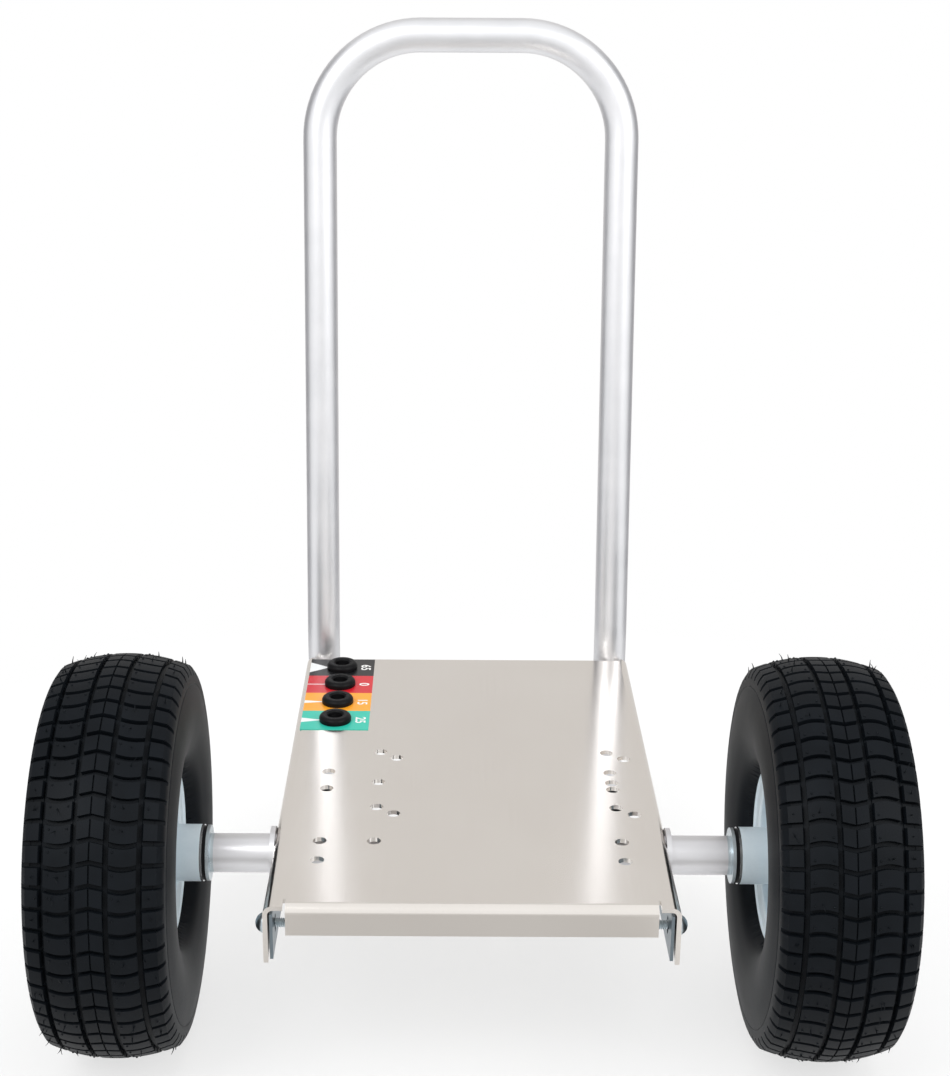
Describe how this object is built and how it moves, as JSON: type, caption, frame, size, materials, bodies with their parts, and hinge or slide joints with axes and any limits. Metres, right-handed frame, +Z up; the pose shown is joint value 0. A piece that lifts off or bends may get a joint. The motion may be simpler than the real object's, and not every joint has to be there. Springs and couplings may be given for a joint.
{
  "type": "pressure washer cart",
  "caption": "Two-wheeled cart for a pressure washer: folded sheet deck with machine and nozzle holes, U-shaped tube handle with rear legs, pneumatic wheels on an axle.",
  "frame": {"origin": "on the floor, under the middle of the cart's outer box", "axes": "+X to the right seen from the front lip, +Y from the front lip towards the handle, +Z up"},
  "size_m": [0.5438, 0.506, 0.633],
  "materials": {
    "deck_stainless": "satin stainless sheet",
    "handle_aluminium": "bright satin aluminium tube",
    "axle_aluminium": "satin aluminium",
    "zinc_steel": "pale blue zinc plate",
    "zinc_fastener": "bright zinc plate",
    "bearing_steel": "ground steel",
    "black_rubber": "matt black",
    "tyre_rubber": "matt black",
    "valve_plastic": "black",
    "label_print": "printed film in four colour bands"
  },
  "bodies": {
    "chassis": {"base_plate": "deck_stainless", "handle_frame": "handle_aluminium", "handle_bolts": "zinc_fastener", "handle_saddles": "zinc_fastener", "handle_nuts": "zinc_fastener", "nozzle_label": "label_print", "axle_tube": "axle_aluminium", "axle_shaft": "zinc_fastener", "tie_rod": "zinc_fastener", "nozzle_grommet_1": "black_rubber", "nozzle_grommet_2": "black_rubber", "nozzle_grommet_3": "black_rubber", "nozzle_grommet_4": "black_rubber", "leg_tip_left": "black_rubber", "axle_collar_left": "axle_aluminium", "axle_bush_left": "zinc_fastener", "thrust_washer_left": "zinc_fastener", "outer_washer_left": "zinc_fastener", "cotter_pin_left": "zinc_fastener", "side_rail_left": "zinc_fastener", "tie_rod_nut_left": "zinc_fastener", "bearing_races_left": "bearing_steel", "leg_tip_right": "black_rubber", "axle_collar_right": "axle_aluminium", "axle_bush_right": "zinc_fastener", "thrust_washer_right": "zinc_fastener", "outer_washer_right": "zinc_fastener", "cotter_pin_right": "zinc_fastener", "side_rail_right": "zinc_fastener", "tie_rod_nut_right": "zinc_fastener", "bearing_races_right": "bearing_steel"},
    "wheel_left": {"tyre_left": "tyre_rubber", "inner_tube_left": "black_rubber", "rim_outer_left": "zinc_steel", "rim_inner_left": "zinc_steel", "rim_bolts_left": "zinc_fastener", "rim_nuts_left": "zinc_fastener", "hub_left": "zinc_steel", "bearing_shells_left": "bearing_steel", "bearing_balls_left": "bearing_steel", "hub_seals_left": "black_rubber", "valve_stem_left": "black_rubber", "valve_cap_left": "valve_plastic"},
    "wheel_right": {"tyre_right": "tyre_rubber", "inner_tube_right": "black_rubber", "rim_outer_right": "zinc_steel", "rim_inner_right": "zinc_steel", "rim_bolts_right": "zinc_fastener", "rim_nuts_right": "zinc_fastener", "hub_right": "zinc_steel", "bearing_shells_right": "bearing_steel", "bearing_balls_right": "bearing_steel", "hub_seals_right": "black_rubber", "valve_stem_right": "black_rubber", "valve_cap_right": "valve_plastic"}
  },
  "joints": [
    {"name": "wheel_left_spin", "type": "hinge", "parent": "chassis", "child": "wheel_left", "pos_m": [-0.2254, -0.12303, 0.13], "axis": [1, 0, 0], "continuous": true},
    {"name": "wheel_right_spin", "type": "hinge", "parent": "chassis", "child": "wheel_right", "pos_m": [0.2254, -0.12303, 0.13], "axis": [1, 0, 0], "continuous": true}
  ]
}
